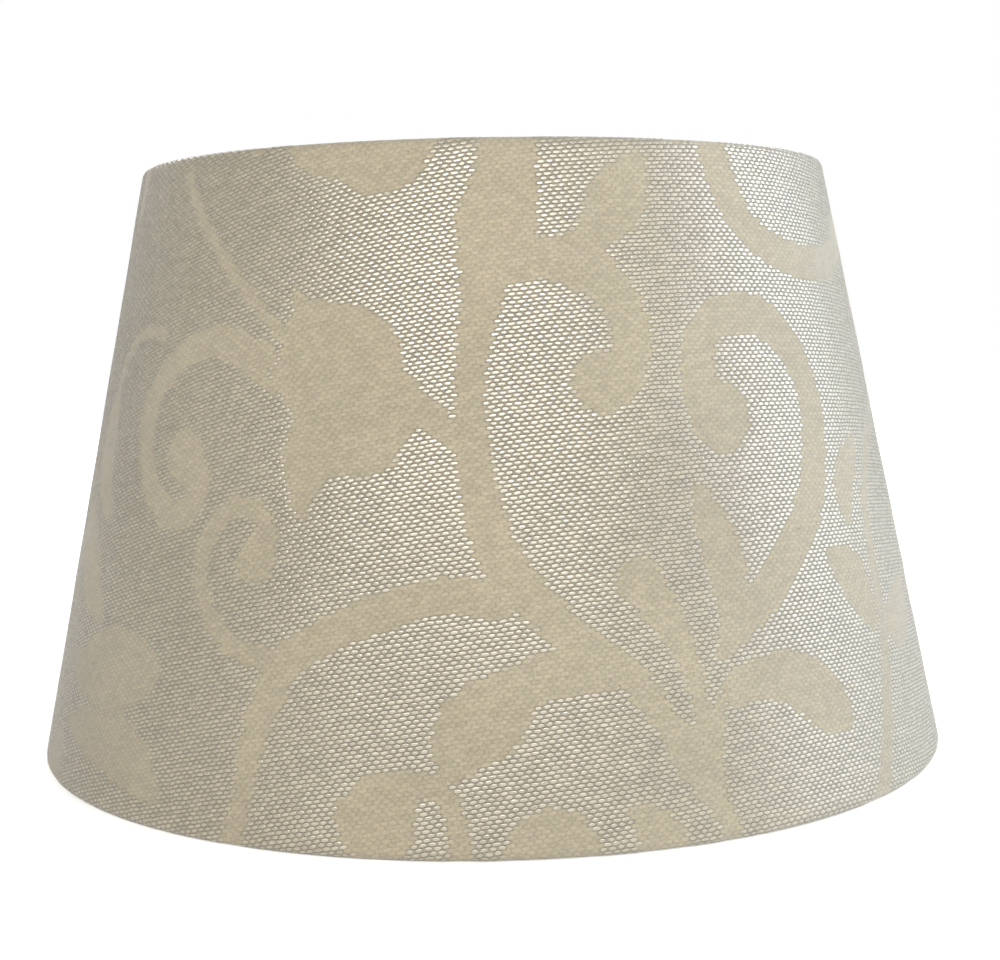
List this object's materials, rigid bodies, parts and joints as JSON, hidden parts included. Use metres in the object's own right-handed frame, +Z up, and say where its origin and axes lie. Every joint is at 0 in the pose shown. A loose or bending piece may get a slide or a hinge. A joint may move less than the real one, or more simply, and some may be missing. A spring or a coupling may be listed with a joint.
{
  "type": "lamp shade",
  "caption": "Tapered drum lamp shade of patterned woven cloth on a stiff lining, rolled over wire rings, with a flip-over gimbal fitter for a lampholder.",
  "frame": {"origin": "centre of the bottom rim, on the plane the rim rests on", "axes": "+Z up along the shade's axis, from the wide bottom rim to the narrow top rim; -Y is the front, and the cloth's lap is at the back (+Y); +X is the axis of the gimbal's pivots"},
  "size_m": [0.3, 0.3009, 0.191],
  "materials": {
    "cover_cloth": "woven damask, ivory on beige",
    "lining": "smooth white shade card",
    "coated_wire": "white epoxy coat, satin",
    "white_plastic": "moulded, semi-gloss"
  },
  "bodies": {
    "shade": {"fabric_cover": "cover_cloth", "cover_lap": "cover_cloth", "lining_panel": "lining", "lining_lap": "lining", "top_ring": "coated_wire", "bottom_ring": "coated_wire", "arm_left": "coated_wire", "arm_right": "coated_wire", "lug_left": "coated_wire", "lug_right": "coated_wire"},
    "gimbal": {"fitter_ring": "coated_wire", "stirrup_left": "coated_wire", "stirrup_right": "coated_wire"},
    "reducer": {"reducer_ring": "white_plastic"}
  },
  "joints": [
    {"name": "gimbal_flip", "type": "hinge", "parent": "shade", "child": "gimbal", "pos_m": [0, 0, 0.1674], "axis": [1, 0, 0], "continuous": true},
    {"name": "reducer_lift", "type": "slide", "parent": "gimbal", "child": "reducer", "axis": [0, 0, 1], "range_m": [0, 0.06]}
  ]
}
